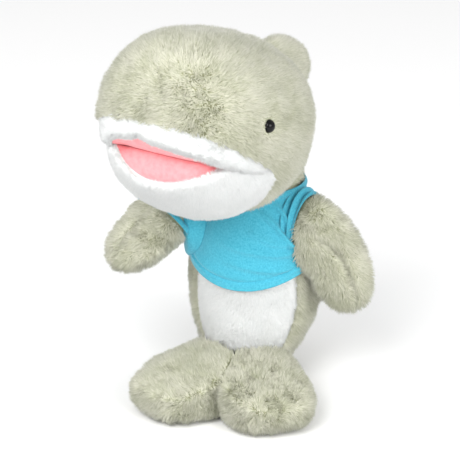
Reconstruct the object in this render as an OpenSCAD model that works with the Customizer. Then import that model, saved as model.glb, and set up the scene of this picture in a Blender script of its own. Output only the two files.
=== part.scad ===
// Plush shark in a T-shirt, standing upright on the two lobes of its tail.
// Millimetres, +Z up. The toy faces -Y and its own left is +X. The origin is on
// the floor, in the middle of the round base panel under the body.
// Sewn covers are closed sheets of plush, each in its own node, and the filling
// inside each cover is a solid of its own.

/* [Plush] */
// Thickness of a plush cover, backing and packed pile together
cover_t = 3; // [2:0.5:4]
// Gap between sewn pieces of one body, and between a cover and its filling
seam_gap = 0.2; // [0.1:0.1:0.5]

/* [Body] */
// Width of the body at its widest
body_w = 88; // [84:1:92]
// Depth of the body from belly to back at its deepest
body_d = 92; // [88:1:96]
// Height of the neck, where the head is sewn on
neck_z = 134; // [132:1:136]
// Half width of the rounded base panel
base_r = 19; // [18:1:20]
// Half of the angle that the white belly panel covers
belly_half_angle = 52; // [45:1:58]

/* [Head] */
// Length of the head from the snout to the back of the skull
head_l = 142; // [138:1:144]
// Width of the head
head_w = 114; // [110:1:116]
// Height of the head with its lower jaw
head_h = 112; // [108:1:114]
// Turn of the sewn head towards the toy's right
head_turn = 18; // [10:1:20]
// Lift of the snout
head_lift = 19; // [15:1:20]
// Angle of the top edge of the white lip, seen from the mouth corners
lip_top_angle = 14; // [12:1:16]
// Angle of the lower edge of the upper lip, at the middle of the mouth
lip_angle = 5; // [4:1:7]
// Angle of the edge of the lower jaw, at the middle of the mouth
jaw_angle = -16; // [-18:1:-14]

/* [Eyes] */
// Diameter of the safety eye
eye_d = 9; // [8:0.5:10]
// Diameter of the washer that locks the eye's shank
washer_d = 13; // [12:0.5:14]

/* [Fins] */
// Length of a chest fin from its shoulder to its tip
fin_l = 72; // [68:1:74]
// Width of a chest fin at its widest
fin_w = 38; // [34:1:39]
// Thickness of a chest fin
fin_t = 24; // [20:1:25]
// Angle between the left chest fin and the vertical
left_fin_hang = 27; // [26:1:32]
// Angle between the right chest fin and the vertical
right_fin_hang = 30; // [29:1:36]
// Angle that the right chest fin is brought forward
right_fin_forward = 50; // [44:1:52]
// Turn of the left chest fin about its own length, its inner edge forward
left_fin_twist = 20; // [15:1:25]
// Width of the fin on the head
crest_w = 42; // [38:1:44]
// Length of the fin on the head, from its root to its tip
crest_l = 48; // [44:1:50]
// Thickness of the fin on the head
crest_t = 15; // [12:1:18]

/* [Tail] */
// Length of a tail lobe from its root to its tip
lobe_l = 64; // [60:1:68]
// Width of a tail lobe at its widest
lobe_w = 56; // [52:1:58]
// Height of a tail lobe
lobe_h = 32; // [30:1:34]
// Angle between a tail lobe and straight ahead
lobe_spread = 33; // [31:1:35]

/* [Shirt] */
// Thickness of the knitted shirt cloth
cloth_t = 1.2; // [1:0.1:1.6]
// Height of the shirt's lower edge in front
hem_z = 76; // [74:1:80]
// Rise of the lower edge towards the sides
hem_rise = 8; // [4:1:10]
// Width of the collar band
collar_h = 3; // [2:1:4]
// Length of a sleeve along the fin
sleeve_l = 9; // [7:1:14]

/* [Hidden] */

GREY_PLUSH = "#c9ccb4";
WHITE_PLUSH = "#e9efec";
PINK_PLUSH = "#ff9c9c";
SHIRT_BLUE = "#45b9d3";
FILLING = "#f6f4ee";
EYE_BLACK = "#0b0b0c";
WASHER = "#dcdcd6";

// The filling stops this far inside its cover
filling_gap = 1.4;
filling_inset = cover_t + filling_gap;

// ---- Closed solids from a surface ----

// Places of a surface f(s, t) on a grid of (ns + 1) by (nt + 1) steps, s and t from 0 to 1
function grid(f, ns, nt) = [for (j = [0:nt]) for (i = [0:ns]) f(i / ns, j / nt)];

// Rim of such a grid, as indices in order
function rim(ns, nt) = let(w = ns + 1) concat(
    [for (i = [0:ns - 1]) i],
    [for (j = [0:nt - 1]) j * w + ns],
    [for (i = [ns:-1:1]) nt * w + i],
    [for (j = [nt:-1:1]) j * w]);

// A sheet with an outer face, an inner face and a wall round its rim
module sheet(outer, inner, ns, nt) {
    w = ns + 1;
    back = w * (nt + 1);
    edge = rim(ns, nt);
    n = len(edge);
    polyhedron(
        points = concat(grid(outer, ns, nt), grid(inner, ns, nt)),
        faces = concat(
            [for (j = [0:nt - 1]) for (i = [0:ns - 1]) for (k = [0, 1])
                let(a = j * w + i, b = a + 1, c = b + w, d = a + w)
                k == 0 ? [a, c, b] : [a, d, c]],
            [for (j = [0:nt - 1]) for (i = [0:ns - 1]) for (k = [0, 1])
                let(a = back + j * w + i, b = a + 1, c = b + w, d = a + w)
                k == 0 ? [a, b, c] : [a, c, d]],
            [for (m = [0:n - 1]) for (k = [0, 1])
                let(a = edge[m], b = edge[(m + 1) % n])
                k == 0 ? [a, b, back + b] : [a, back + b, back + a]]));
}

// Middle of a list of points
function mean(points) = ([for (p = points) 1] * points) / len(points);

// A solid inside a surface that closes round s, capped at both ends of t
module closed_form(f, ns, nt) {
    rings = [for (j = [0:nt]) [for (i = [0:ns - 1]) f(i / ns, j / nt)]];
    low_cap = ns * (nt + 1);
    polyhedron(
        points = concat([for (ring = rings) each ring], [mean(rings[0]), mean(rings[nt])]),
        faces = concat(
            [for (j = [0:nt - 1]) for (i = [0:ns - 1]) for (k = [0, 1])
                let(a = j * ns + i, b = j * ns + (i + 1) % ns, c = b + ns, d = a + ns)
                k == 0 ? [a, c, b] : [a, d, c]],
            [for (i = [0:ns - 1]) [i, (i + 1) % ns, low_cap]],
            [for (i = [0:ns - 1]) [nt * ns + (i + 1) % ns, nt * ns + i, low_cap + 1]]));
}

function mix(a, b, k) = a + (b - a) * k;
function bend(x, power) = sign(x) * pow(abs(x), power);

// Value of a smooth curve through rows of [key, values...] at a key
function spline(rows, key, i = 0) =
    i < len(rows) - 2 && key > rows[i + 1][0] ? spline(rows, key, i + 1) :
    let(
        p1 = rows[i], p2 = rows[i + 1],
        p0 = rows[max(0, i - 1)], p3 = rows[min(len(rows) - 1, i + 2)],
        k = (key - p1[0]) / (p2[0] - p1[0]),
        m1 = (p2 - p0) / (p2[0] - p0[0]) * (p2[0] - p1[0]),
        m2 = (p3 - p1) / (p3[0] - p1[0]) * (p2[0] - p1[0]))
    (2 * pow(k, 3) - 3 * pow(k, 2) + 1) * p1 + (pow(k, 3) - 2 * pow(k, 2) + k) * m1 +
    (3 * pow(k, 2) - 2 * pow(k, 3)) * p2 + (pow(k, 3) - pow(k, 2)) * m2;

// ---- Body ----

half_w = body_w / 2;
half_d = body_d / 2;
// Middle of the base panel along Y, and half the straight stretch of its sides
base_y = -24;
base_stretch = 7;
// Height, half width, half depth and middle along Y of the body
body_rows = [
    [0, base_r + 1, base_r + base_stretch + 1, base_y],
    [16, 0.58 * half_w, 0.58 * half_d, base_y + 3],
    [34, 0.80 * half_w, 0.78 * half_d, -8],
    [48, 0.93 * half_w, 0.93 * half_d, 0],
    [64, half_w, half_d, 5],
    [86, 0.96 * half_w, 0.95 * half_d, 3],
    [106, 0.86 * half_w, 0.84 * half_d, -1],
    [122, 0.77 * half_w, 0.74 * half_d, -1],
    [neck_z, 0.72 * half_w, 0.68 * half_d, 1],
    [neck_z + 12, 0.62 * half_w, 0.58 * half_d, 4],
    [neck_z + 20, 0.34 * half_w, 0.34 * half_d, 8]];

// Point of the body at an angle from the belly towards the toy's left, at a height
function body_at(angle, z, inset) =
    let(row = spline(body_rows, z))
    [(row[1] - inset) * sin(angle), row[3] - (row[2] - inset) * cos(angle), z];

cover_low = cover_t + seam_gap;
cover_high = neck_z - 2;
seam_angle = 0.4;
module body_cover(from, to, ns) {
    function place(inset) = function(s, t)
        body_at(mix(from + seam_angle, to - seam_angle, s), mix(cover_low, cover_high, t), inset);
    sheet(place(0), place(cover_t), ns, 12);
}

module base_panel() {
    color(GREY_PLUSH) translate([0, base_y, 0]) linear_extrude(height = cover_t) union() {
        for (end = [-1, 1]) translate([0, end * base_stretch]) circle(r = base_r, $fn = 64);
        square([2 * base_r, 2 * base_stretch], center = true);
    }
}
module belly_panel() {
    color(WHITE_PLUSH) body_cover(-belly_half_angle, belly_half_angle, 10);
}
module back_left_cover() {
    color(GREY_PLUSH) body_cover(belly_half_angle, 180, 12);
}
module back_right_cover() {
    color(GREY_PLUSH) body_cover(180, 360 - belly_half_angle, 12);
}
module body_filling() {
    color(FILLING) closed_form(
        function(s, t) body_at(360 * s, mix(cover_low + filling_gap, neck_z, t), filling_inset), 28, 12);
}

// ---- Head ----

// Middle of the neck seam, which the head nods about
neck = [0, 4, neck_z + 14];
// Middle of the head ahead of and above the neck
head_ahead = 57;
head_above = 49;
// Middle of the hinge line between the mouth corners, from the middle of the head
mouth_mid = [0, 1, -22.5];
snout_power = 3.1;
skull_power = 2.4;
section_power = 2.2;
// Angles round the hinge line: 0 is straight ahead, 90 up, 180 back
throat_angle = 238;
jaw_back_angle = -112;
pole = 86;
// Where the mouth's slit ends, round from the middle of the mouth, and its edges there
slit_end = 45;
corner_lip_angle = 3;
corner_jaw_angle = -7;

// Places the head's own frame, with its origin in the middle of the head
module on_head() {
    translate(neck) rotate([0, 0, -head_turn]) translate([0, -head_ahead, head_above])
        rotate([-head_lift, 0, 0]) children();
}

// Below 1 inside the head, 1 on its surface
function head_level(p) =
    let(
        k = p.y < 0 ? snout_power : skull_power,
        section = pow(abs(2 * p.x / head_w), section_power) + pow(abs(2 * p.z / head_h), section_power))
    pow(section, k / section_power) + pow(abs(2 * p.y / head_l), k);

// Distance from the mouth's middle to the head's surface in a direction
function head_reach(dir, low = 0, high = head_l, steps = 16) =
    steps == 0 ? low :
    let(mid = (low + high) / 2)
    head_level(mouth_mid + mid * dir) < 1
        ? head_reach(dir, mid, high, steps - 1)
        : head_reach(dir, low, mid, steps - 1);

function head_dir(side, angle) =
    [sin(side), -cos(side) * cos(angle), cos(side) * sin(angle)];
function head_at(side, angle, inset) =
    let(dir = head_dir(side, angle))
    mouth_mid + (head_reach(dir) - inset) * dir;

// 1 at the middle of the mouth, 0 at the ends of its slit and beyond
function mouth_opening(side) = abs(side) < slit_end ? pow(cos(90 * side / slit_end), 0.7) : 0;
function lip_edge(side) = mix(corner_lip_angle, lip_angle, mouth_opening(side));
function jaw_edge(side) = mix(corner_jaw_angle, jaw_angle, mouth_opening(side));

module head_cover(from, to) {
    function place(inset) = function(s, t)
        head_at(mix(from, to, s), mix(lip_top_angle + seam_angle, throat_angle, t), inset);
    sheet(place(0), place(cover_t), 12, 16);
}
module head_left_cover() {
    color(GREY_PLUSH) on_head() head_cover(seam_angle / 2, pole);
}
module head_right_cover() {
    color(GREY_PLUSH) on_head() head_cover(-pole, -seam_angle / 2);
}
module upper_lip() {
    function place(inset) = function(s, t)
        let(side = mix(-pole, pole, s))
        head_at(side, mix(lip_edge(side), lip_top_angle - seam_angle, t), inset);
    color(WHITE_PLUSH) on_head() sheet(place(0), place(cover_t), 28, 2);
}
// The lower jaw sits back at its edge and is fuller under the chin than the head's outline
jaw_recess = 5;
jaw_fullness = 7;
function jaw_at(side, t, inset) =
    let(set_back = (jaw_recess * pow(t, 3) - jaw_fullness * sin(180 * t)) * cos(side))
    head_at(side, mix(jaw_back_angle, jaw_edge(side), t), inset + set_back);
module jaw_cover() {
    function place(inset) = function(s, t) jaw_at(mix(-pole, pole, s), t, inset);
    color(WHITE_PLUSH) on_head() sheet(place(0), place(cover_t), 24, 8);
}

// Flat lining of the mouth on one side of the slit, at an angle round the hinge line
lining_t = 1.5;
lining_back = 44;
module mouth_lining(angle, recess, lift) {
    function place(height) = function(s, t)
        let(
            side = mix(-slit_end, slit_end, s),
            dir = head_dir(side, angle),
            reach = mix(lining_back, head_reach(dir) - filling_inset - recess, t))
        mouth_mid + reach * dir + height * [0, sin(angle), cos(angle)];
    sheet(place(lift), place(lift + lining_t), 12, 3);
}
module mouth_roof() {
    color(PINK_PLUSH) on_head() mouth_lining(lip_angle, 0, -lining_t - seam_gap);
}
module mouth_floor() {
    color(PINK_PLUSH) on_head() mouth_lining(jaw_angle, jaw_recess, seam_gap);
}

// The fillings of the head and the jaw are wedges that meet along the hinge line
wedge_core = 7;
wedge_pole = 76;
module wedge(outer, from, to, nt) {
    inner = function(s, t)
        mouth_mid + wedge_core * head_dir(mix(-wedge_pole, wedge_pole, s), mix(from, to, t));
    sheet(outer, inner, 16, nt);
}
module head_filling() {
    from = lip_angle + 1;
    to = throat_angle - 1;
    outer = function(s, t) head_at(mix(-wedge_pole, wedge_pole, s), mix(from, to, t), filling_inset);
    color(FILLING) on_head() wedge(outer, from, to, 14);
}
module jaw_filling() {
    low = 0.02;
    outer = function(s, t)
        let(side = mix(-wedge_pole, wedge_pole, s))
        t == 1 ? head_at(side, jaw_angle, filling_inset + jaw_recess * cos(side))
            : jaw_at(side, mix(low, 1, t), filling_inset);
    color(FILLING) on_head() wedge(outer, jaw_back_angle + 2, jaw_angle, 6);
}

// ---- Eyes ----

eye_ahead = 19;
eye_up = 6;
shank_r = 1.5;
shank_l = 9;
washer_t = 1.6;
washer_depth = 5;
eye_dome_h = 0.42 * eye_d;
// Half width of the head at a distance ahead of and above its middle
function surface_x(ahead, up) =
    let(
        k = ahead > 0 ? snout_power : skull_power,
        section = pow(1 - pow(abs(2 * ahead / head_l), k), section_power / k))
    head_w / 2 * pow(section - pow(abs(2 * up / head_h), section_power), 1 / section_power);
// Middle of the left eye on the head's surface, and the surface's outward slope there
eye_mid = [surface_x(eye_ahead, eye_up), -eye_ahead, eye_up];
slope = [for (axis = [[1, 0, 0], [0, 1, 0], [0, 0, 1]])
    head_level(eye_mid + axis) - head_level(eye_mid - axis)];

module eye_place(side) {
    on_head() mirror([side < 0 ? 1 : 0, 0, 0]) translate(eye_mid)
        rotate([0, acos(slope.z / norm(slope)), atan2(slope.y, slope.x)]) children();
}
module eye(side) {
    color(EYE_BLACK) eye_place(side) {
        intersection() {
            translate([0, 0, eye_dome_h - eye_d / 2]) sphere(d = eye_d, $fn = 48);
            cylinder(d = eye_d, h = eye_d, $fn = 48);
        }
        translate([0, 0, -shank_l]) cylinder(r = shank_r, h = shank_l, $fn = 32);
    }
}
module eye_washer(side) {
    color(WASHER) eye_place(side) translate([0, 0, -washer_depth - washer_t])
        difference() {
            cylinder(d = washer_d, h = washer_t, $fn = 48);
            translate([0, 0, -1]) cylinder(r = shank_r, h = washer_t + 2, $fn = 32);
        }
}
module left_eye() { eye(1); }
module right_eye() { eye(-1); }
module left_eye_washer() { eye_washer(1); }
module right_eye_washer() { eye_washer(-1); }

// ---- Fins ----

// Point of a stuffed pad. Its middle line runs from the origin along +Z for a length,
// its width lies along X and its thickness along Y. turn goes round the pad, along is
// from start to 180 from its root to its tip, narrow is the share of its width that the
// root lacks, and lean is how far the tip leans along X.
function pad_at(turn, along, start, size, narrow, lean, inset) =
    let(
        way = (cos(start) - cos(along)) / (cos(start) + 1),
        full = pow(sin(along), 0.85) * mix(1 - narrow, 1, pow(way, 0.8)),
        shrink = inset * sin(along))
    [(size.x / 2 * full - shrink) * cos(turn) + lean * pow(way, 1.5),
        (size.y / 2 * full - shrink) * sin(turn),
        inset + (size.z - 2 * inset) * way];

pad_end = 5;
module pad_cover(from, start, size, narrow, lean) {
    function place(inset) = function(s, t)
        pad_at(mix(from + 1, from + 179, s), mix(start, 180 - pad_end, t),
            start, size, narrow, lean, inset);
    sheet(place(0), place(cover_t), 10, 12);
}
module pad_filling(start, size, narrow, lean) {
    closed_form(
        function(s, t) pad_at(360 * s, mix(start, 180 - 2 * pad_end, t),
            start, size, narrow, lean, filling_inset),
        16, 9);
}

// The chest fins hang from their shoulder ends
shoulder = [46, -11, neck_z - 8];
shoulder_depth = 6;
fin_size = [fin_w, fin_t, fin_l + shoulder_depth];
fin_narrow = 0.2;
// Angles of a chest fin from the vertical: out from the body, and forward
function fin_hang(side) = side > 0 ? left_fin_hang : right_fin_hang;
function fin_forward(side) = side > 0 ? 0 : right_fin_forward;
function fin_turn(side) = side > 0 ? left_fin_twist : 0;
module chest_fin_place(side) {
    mirror([side < 0 ? 1 : 0, 0, 0]) translate(shoulder)
        rotate([-fin_forward(side), 0, 0])
        rotate([0, 180 - fin_hang(side), 0]) rotate([0, 0, -fin_turn(side)])
        translate([0, 0, -shoulder_depth]) children();
}
module chest_fin_cover(side, from) {
    color(GREY_PLUSH) chest_fin_place(side) pad_cover(from, pad_end, fin_size, fin_narrow, 0);
}
module chest_fin_filling(side) {
    color(FILLING) chest_fin_place(side) pad_filling(2 * pad_end, fin_size, fin_narrow, 0);
}
module left_fin_front_cover() { chest_fin_cover(1, 180); }
module left_fin_back_cover() { chest_fin_cover(1, 0); }
module left_fin_filling() { chest_fin_filling(1); }
module right_fin_front_cover() { chest_fin_cover(-1, 180); }
module right_fin_back_cover() { chest_fin_cover(-1, 0); }
module right_fin_filling() { chest_fin_filling(-1); }

// The fin on the head stands on the back of the skull and leans backwards
crest_tilt = 62;
crest_clear = 5.5;
crest_lean = -14;
crest_start = 62;
crest_narrow = -0.12;
crest_size = [crest_w, crest_t, crest_l];
crest_root = [0, 57, 35];
module crest_place() {
    on_head() translate(crest_root) rotate([-crest_tilt, 0, 0])
        translate([0, 0, crest_clear]) rotate([0, 0, -90]) children();
}
module crest_cover(from) {
    color(GREY_PLUSH) crest_place() pad_cover(from, crest_start, crest_size, crest_narrow, crest_lean);
}
module head_fin_left_cover() { crest_cover(0); }
module head_fin_right_cover() { crest_cover(180); }
module head_fin_filling() {
    color(FILLING) crest_place() pad_filling(crest_start, crest_size, crest_narrow, crest_lean);
}

// ---- Tail ----

// Distance of a lobe's root from the body's axis, and its shift towards the middle
lobe_root = 45;
lobe_shift = -13;
sole_t = cover_t;
midline_gap = 0.8;
lobe_start = 50;
tuck = 50;
// Point of a tail lobe. turn goes over the lobe from its outer side, 0, to its inner side,
// 180. along is from lobe_start at the root to 180 at the tip. The lobe is flat where it
// lies on its sole and where it meets the other lobe.
function lobe_at(turn, along, inset, floor_z) =
    let(
        way = (cos(lobe_start) - cos(along)) / (cos(lobe_start) + 1),
        half = (lobe_w / 2 * pow(sin(along), 0.6) - inset * sin(along)) * bend(cos(turn), 0.9) + lobe_shift,
        rise = (lobe_h / 2 * pow(sin(along), 0.5) - inset * sin(along)) * bend(sin(turn), 0.6),
        out = lobe_root + (lobe_l - inset) * way)
    [max(midline_gap + inset, out * sin(lobe_spread) + half * cos(lobe_spread)),
        -out * cos(lobe_spread) + half * sin(lobe_spread),
        max(floor_z, lobe_h / 2 + rise)];

module on_side(side) {
    mirror([side < 0 ? 1 : 0, 0, 0]) children();
}
module tail_cover(side) {
    function place(inset) = function(s, t)
        lobe_at(mix(-tuck, 180 + tuck, s), mix(lobe_start, 180 - pad_end, t), inset, sole_t + seam_gap);
    color(GREY_PLUSH) on_side(side) sheet(place(0), place(cover_t), 18, 14);
}
module tail_sole(side) {
    function edge(turn, k) =
        let(p = lobe_at(turn, mix(lobe_start, 170, k / 9), filling_inset, 0)) [p.x, p.y];
    outline = concat([for (k = [0:9]) edge(-tuck, k)], [for (k = [9:-1:0]) edge(180 + tuck, k)]);
    color(GREY_PLUSH) on_side(side) linear_extrude(height = sole_t) polygon(outline);
}
module tail_filling(side) {
    color(FILLING) on_side(side) closed_form(
        function(s, t) lobe_at(360 * s, mix(lobe_start + 3, 180 - 2 * pad_end, t),
            filling_inset, sole_t + filling_gap),
        24, 12);
}
module left_tail_cover() { tail_cover(1); }
module left_tail_sole() { tail_sole(1); }
module left_tail_filling() { tail_filling(1); }
module right_tail_cover() { tail_cover(-1); }
module right_tail_sole() { tail_sole(-1); }
module right_tail_filling() { tail_filling(-1); }

// ---- Shirt ----

shirt_ease = 1;
shirt_top = neck_z - 5;
armhole_low = 98;
armhole_angle = 28;
side_angle = 89.5;
// Half of the angle that a shirt panel covers at a height, less the armhole
function shirt_reach(z) =
    side_angle - armhole_angle
        * pow(sin(180 * max(0, z - armhole_low) / (shirt_top + 8 - armhole_low)), 0.7);
module shirt_panel(middle) {
    function place(inset) = function(s, t)
        let(
            reach = shirt_reach(mix(hem_z, shirt_top, t)),
            angle = middle + mix(-reach, reach, s),
            z = mix(hem_z + hem_rise * pow(sin(angle), 2), shirt_top, t))
        body_at(angle, z, inset);
    color(SHIRT_BLUE) sheet(place(-shirt_ease - cloth_t), place(-shirt_ease), 14, 9);
}
module shirt_front() { shirt_panel(0); }
module shirt_back() { shirt_panel(180); }
module shirt_collar() {
    function place(inset) = function(s, t)
        body_at(mix(180.5, 539.5, s), mix(shirt_top + seam_gap, shirt_top + collar_h, t), inset);
    color(SHIRT_BLUE) sheet(place(-shirt_ease - 1.5 * cloth_t), place(-shirt_ease), 28, 1);
}
module sleeve(side) {
    sleeve_from = 24;
    sleeve_to = acos(1 - 2 * (sleeve_l + shoulder_depth) / (fin_l + shoulder_depth));
    function place(inset) = function(s, t)
        pad_at(mix(1, 359, s), mix(sleeve_from, sleeve_to, t), pad_end, fin_size, fin_narrow, 0, inset);
    color(SHIRT_BLUE) chest_fin_place(side)
        sheet(place(-seam_gap - cloth_t), place(-seam_gap), 24, 4);
}
module left_sleeve() { sleeve(1); }
module right_sleeve() { sleeve(-1); }

base_panel();
back_left_cover();
back_right_cover();
belly_panel();
body_filling();
head_left_cover();
head_right_cover();
upper_lip();
mouth_roof();
head_filling();
jaw_cover();
mouth_floor();
jaw_filling();
left_eye();
right_eye();
left_eye_washer();
right_eye_washer();
head_fin_left_cover();
head_fin_right_cover();
head_fin_filling();
left_fin_front_cover();
left_fin_back_cover();
left_fin_filling();
right_fin_front_cover();
right_fin_back_cover();
right_fin_filling();
left_tail_cover();
left_tail_sole();
left_tail_filling();
right_tail_cover();
right_tail_sole();
right_tail_filling();
shirt_front();
shirt_back();
shirt_collar();
left_sleeve();
right_sleeve();
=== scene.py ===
import math

import bpy
import numpy as np
from mathutils import Matrix, Vector


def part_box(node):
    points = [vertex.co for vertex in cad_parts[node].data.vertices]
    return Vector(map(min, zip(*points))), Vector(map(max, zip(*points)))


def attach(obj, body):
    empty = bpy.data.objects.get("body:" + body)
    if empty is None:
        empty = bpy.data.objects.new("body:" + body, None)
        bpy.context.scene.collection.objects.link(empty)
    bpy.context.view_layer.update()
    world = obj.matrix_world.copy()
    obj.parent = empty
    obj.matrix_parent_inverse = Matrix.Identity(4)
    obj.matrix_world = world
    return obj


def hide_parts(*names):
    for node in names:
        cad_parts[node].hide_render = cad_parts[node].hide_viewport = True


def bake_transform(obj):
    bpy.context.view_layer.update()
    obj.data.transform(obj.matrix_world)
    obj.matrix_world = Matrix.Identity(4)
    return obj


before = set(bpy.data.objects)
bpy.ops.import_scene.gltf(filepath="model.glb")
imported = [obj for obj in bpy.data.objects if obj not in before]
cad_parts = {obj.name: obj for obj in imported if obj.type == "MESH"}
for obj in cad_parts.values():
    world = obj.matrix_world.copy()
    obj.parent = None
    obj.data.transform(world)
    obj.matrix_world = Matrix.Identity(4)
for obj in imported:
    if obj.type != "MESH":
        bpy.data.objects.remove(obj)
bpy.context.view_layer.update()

# ---------------------------------------------------------------------------
# The body. A pear of long-pile polyester plush with a white short-pile belly
# panel let into its front, stuffed with fibre and closed by a base panel.
# The panels are sewn inside out, so each seam lies in a shallow valley.
# ---------------------------------------------------------------------------

MM = 0.001
BODY_W, BODY_D, NECK_Z = 88, 92, 134
BASE_Y, BASE_R, BASE_STRETCH = -24, 19, 7
BELLY_HALF_ANGLE = 55
SEAM_DEPTH, SEAM_WIDTH = 2.0, 3.0
# The backing lies this far inside the solids' faces, so that the tufts end just outside them
BACKING_IN = 1.2
# Height, half width, half depth and middle along Y, as the solids have them
BODY_ROWS = [
    [0, BASE_R + 1, BASE_R + BASE_STRETCH + 1, BASE_Y],
    [16, 0.58 * BODY_W / 2, 0.58 * BODY_D / 2, BASE_Y + 3],
    [34, 0.80 * BODY_W / 2, 0.78 * BODY_D / 2, -8],
    [48, 0.93 * BODY_W / 2, 0.93 * BODY_D / 2, 0],
    [64, BODY_W / 2, BODY_D / 2, 5],
    [86, 0.96 * BODY_W / 2, 0.95 * BODY_D / 2, 3],
    [106, 0.86 * BODY_W / 2, 0.84 * BODY_D / 2, -1],
    [122, 0.77 * BODY_W / 2, 0.74 * BODY_D / 2, -1],
    [NECK_Z, 0.72 * BODY_W / 2, 0.68 * BODY_D / 2, 1],
    [NECK_Z + 12, 0.62 * BODY_W / 2, 0.58 * BODY_D / 2, 4],
    [NECK_Z + 20, 0.34 * BODY_W / 2, 0.34 * BODY_D / 2, 8]]


def linear(hex_colour):
    """An sRGB hex colour as linear red, green, blue and full alpha."""
    parts = [int(hex_colour[i:i + 2], 16) / 255 for i in (1, 3, 5)]
    return [c / 12.92 if c < 0.04045 else ((c + 0.055) / 1.055) ** 2.4 for c in parts] + [1]


def add(material, kind, settings=None, inputs=None):
    """Adds a node. settings are its own properties; inputs are values, or sockets to link from."""
    tree = material.node_tree
    node = tree.nodes.new(kind)
    for name, value in (settings or {}).items():
        setattr(node, name, value)
    for name, value in (inputs or {}).items():
        if isinstance(value, bpy.types.NodeSocket):
            tree.links.new(value, node.inputs[name])
        else:
            node.inputs[name].default_value = value
    return node


def shaded(name, inputs):
    """A new material of one Principled shader with those inputs."""
    material = bpy.data.materials.new(name)
    material.use_nodes = True
    shader = material.node_tree.nodes["Principled BSDF"]
    for key, value in inputs.items():
        shader.inputs[key].default_value = value
    return material


def spline(rows, key):
    """Smooth curve through rows of [key, values]: cubic Hermite pieces whose slope at a row is that
    between its two neighbours."""
    rows, key = np.asarray(rows, float), np.asarray(key, float)
    i = np.clip(np.searchsorted(rows[:, 0], key) - 1, 0, len(rows) - 2)
    p0, p1, p2 = rows[np.maximum(i - 1, 0)], rows[i], rows[i + 1]
    p3 = rows[np.minimum(i + 2, len(rows) - 1)]
    step = (p2 - p1)[..., :1]
    k = (key[..., None] - p1[..., :1]) / step
    m1 = (p2 - p0) / (p2 - p0)[..., :1] * step
    m2 = (p3 - p1) / (p3 - p1)[..., :1] * step
    return ((2 * k**3 - 3 * k**2 + 1) * p1 + (k**3 - 2 * k**2 + k) * m1
            + (3 * k**2 - 2 * k**3) * p2 + (k**3 - k**2) * m2)


def noise(points, cell, seed, values=1):
    """Smooth random values from -1 to 1: a repeating lattice of random numbers, one cell apart,
    blended between the eight corners round each point."""
    lattice = np.random.default_rng(seed).uniform(-1, 1, (32, 32, 32, values))
    place = points / cell
    corner = np.floor(place).astype(int)
    k = place - corner
    k = k * k * (3 - 2 * k)
    total = np.zeros(points.shape[:-1] + (values,))
    for step in np.ndindex(2, 2, 2):
        weight = np.prod(np.where(step, k, 1 - k), axis=-1)
        x, y, z = np.moveaxis((corner + step) % 32, -1, 0)
        total += weight[..., None] * lattice[x, y, z]
    return total


def unit(vectors):
    """Vectors brought to length 1."""
    return vectors / (np.linalg.norm(vectors, axis=-1, keepdims=True) + 1e-12)


def closed_rings(rings):
    """Points and triangles of a closed form: rings of points joined in order, with a middle point
    closing each end. The triangles are turned over if the form's signed volume is negative."""
    count, around = rings.shape[:2]
    points = np.concatenate([rings.reshape(-1, 3), [rings[0].mean(0)], [rings[-1].mean(0)]])
    i = np.arange(around)
    a = np.arange(count - 1)[:, None] * around + i
    b = np.arange(count - 1)[:, None] * around + (i + 1) % around
    low, high = count * around, count * around + 1
    last = (count - 1) * around
    faces = np.concatenate([
        np.stack([a, b, b + around], -1).reshape(-1, 3),
        np.stack([a, b + around, a + around], -1).reshape(-1, 3),
        np.stack([(i + 1) % around, i, np.full(around, low)], -1),
        np.stack([last + i, last + (i + 1) % around, np.full(around, high)], -1)])
    p = points[faces]
    volume = np.einsum("ij,ij->", p[:, 0], np.cross(p[:, 1], p[:, 2]))
    return points, faces if volume > 0 else faces[:, ::-1]


def make_mesh(name, points, faces, materials, slots=None):
    """A smooth-shaded mesh object at the origin, from points in mm and triangles."""
    mesh = bpy.data.meshes.new(name)
    mesh.vertices.add(len(points))
    mesh.vertices.foreach_set("co", (points * MM).astype(np.float32).ravel())
    mesh.loops.add(faces.size)
    mesh.loops.foreach_set("vertex_index", faces.astype(np.int32).ravel())
    mesh.polygons.add(len(faces))
    mesh.polygons.foreach_set("loop_start", np.arange(0, faces.size, 3, dtype=np.int32))
    mesh.polygons.foreach_set("use_smooth", np.ones(len(faces), bool))
    for material in materials:
        mesh.materials.append(material)
    if slots is not None:
        mesh.polygons.foreach_set("material_index", slots.astype(np.int32))
    mesh.update(calc_edges=True)
    piece = bpy.data.objects.new(name, mesh)
    bpy.context.scene.collection.objects.link(piece)
    return piece


FLOOR_CLEAR = 0.3


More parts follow.
